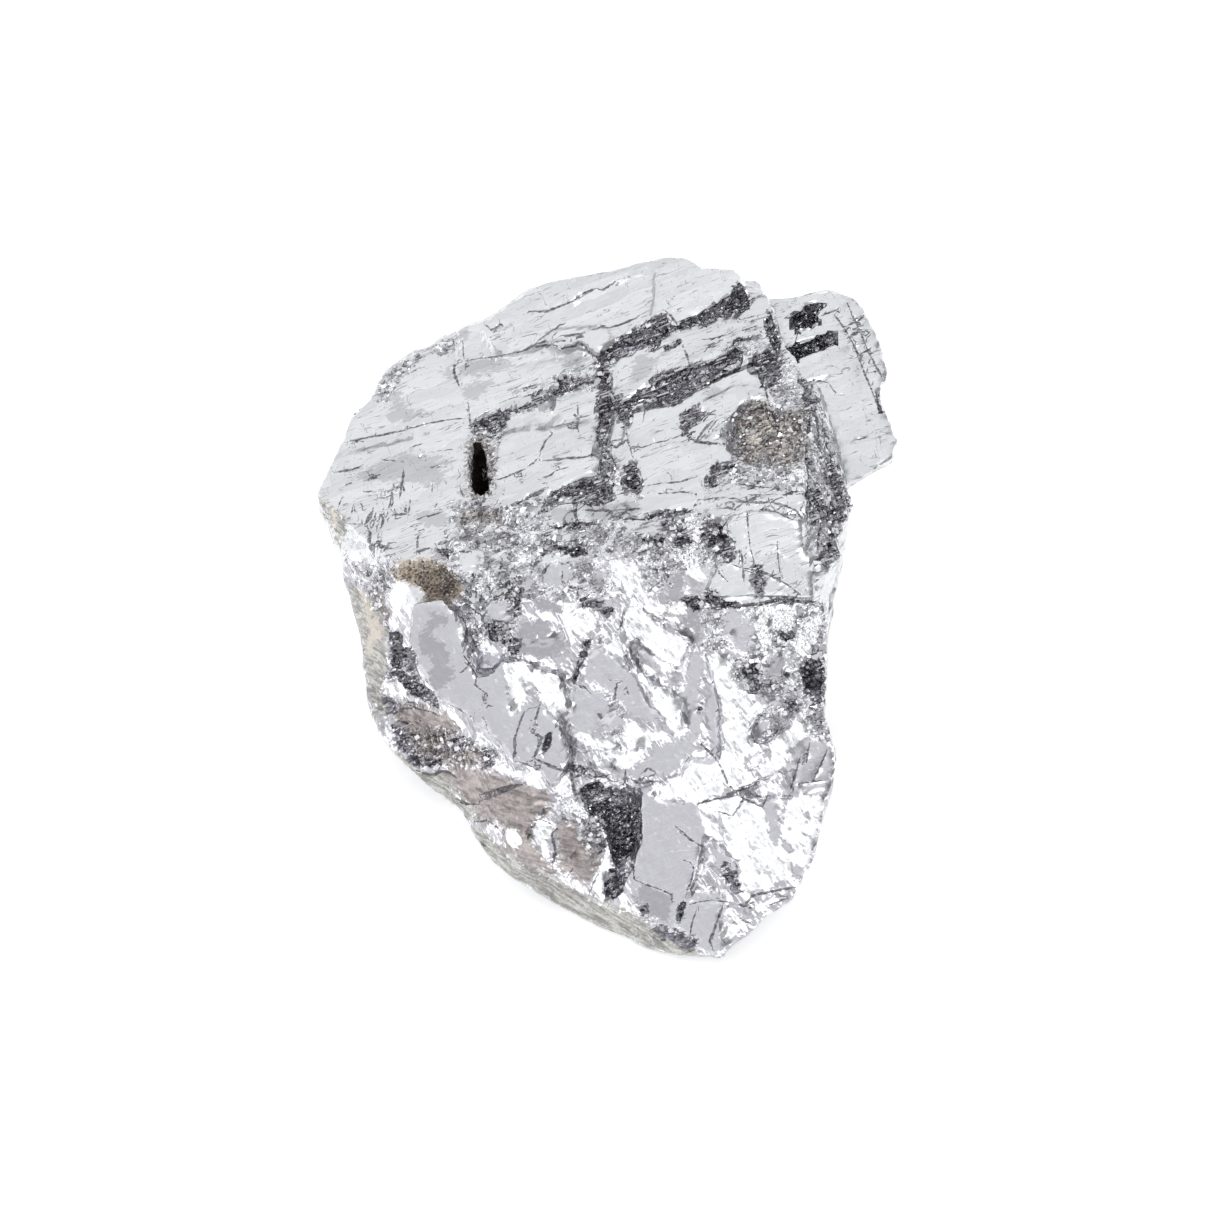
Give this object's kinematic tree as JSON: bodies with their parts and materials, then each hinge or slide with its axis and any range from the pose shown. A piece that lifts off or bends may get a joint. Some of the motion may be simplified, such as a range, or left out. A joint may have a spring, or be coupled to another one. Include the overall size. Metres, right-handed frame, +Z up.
{
  "type": "galena specimen",
  "caption": "Rough lump of galena with bright stepped cleavage faces, broken dark walls, a second crystal on one side and a thin pale rind of host rock.",
  "frame": {"origin": "on the resting surface, under the middle of the lump's bounding box", "axes": "+Z up, -Y towards the side with the large cleavage faces, +X towards the second crystal"},
  "size_m": [0.0584, 0.067, 0.0453],
  "materials": {
    "galena": "bright lead-grey metallic lustre on cleaved faces, dull and dark in the broken ground"
  },
  "bodies": {
    "root": {"galena_specimen": "galena"}
  },
  "joints": []
}
